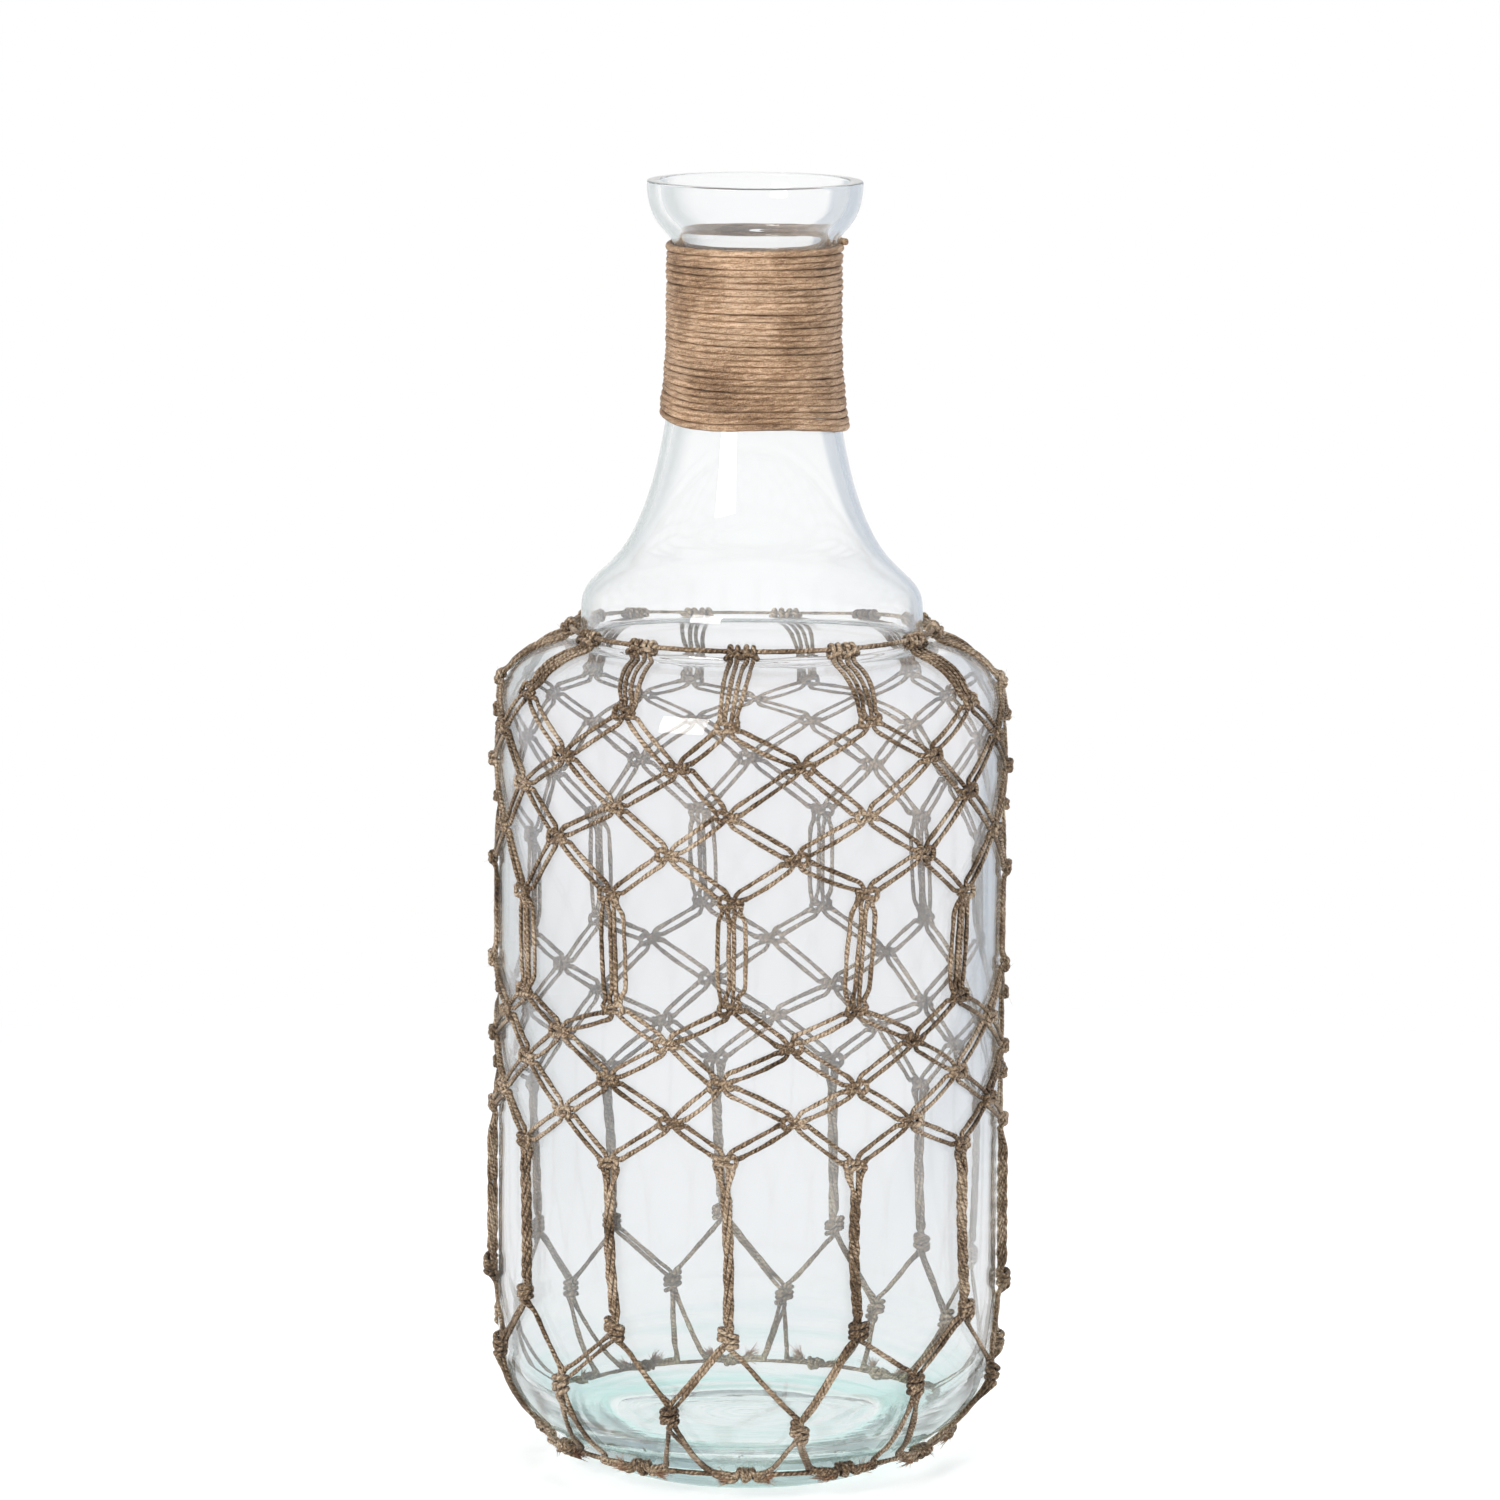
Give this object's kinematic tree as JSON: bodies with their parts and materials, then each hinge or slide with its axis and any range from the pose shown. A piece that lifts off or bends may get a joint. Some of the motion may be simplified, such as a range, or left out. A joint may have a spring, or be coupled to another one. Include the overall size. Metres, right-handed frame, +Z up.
{
  "type": "bottle vase",
  "caption": "Tall clear glass bottle vase with a flared mouth, a cord-wound neck and a knotted jute net over its body.",
  "frame": {"origin": "middle of the foot, on the surface that the vase stands on", "axes": "+Z up out of the mouth; the front that the picture shows faces -Y, +X to its right"},
  "size_m": [0.2018, 0.2021, 0.5],
  "materials": {
    "clear_glass": "clear blown glass, smooth, faint aqua tint in the thick base",
    "neck_twine": "golden brown two-ply jute twine, matt with a slight sheen",
    "net_jute": "tan brown waxed jute cord, matt"
  },
  "bodies": {
    "root": {"glass_bottle": "clear_glass", "neck_cord": "neck_twine", "top_ring_cord": "net_jute", "bottom_ring_cord": "net_jute", "net_cord_left_01": "net_jute", "net_cord_right_01": "net_jute", "net_cord_left_02": "net_jute", "net_cord_right_02": "net_jute", "net_cord_left_03": "net_jute", "net_cord_right_03": "net_jute", "net_cord_left_04": "net_jute", "net_cord_right_04": "net_jute", "net_cord_left_05": "net_jute", "net_cord_right_05": "net_jute", "net_cord_left_06": "net_jute", "net_cord_right_06": "net_jute", "net_cord_left_07": "net_jute", "net_cord_right_07": "net_jute", "net_cord_left_08": "net_jute", "net_cord_right_08": "net_jute", "net_cord_left_09": "net_jute", "net_cord_right_09": "net_jute", "net_cord_left_10": "net_jute", "net_cord_right_10": "net_jute", "net_cord_left_11": "net_jute", "net_cord_right_11": "net_jute", "net_cord_left_12": "net_jute", "net_cord_right_12": "net_jute", "net_cord_left_13": "net_jute", "net_cord_right_13": "net_jute"}
  },
  "joints": []
}
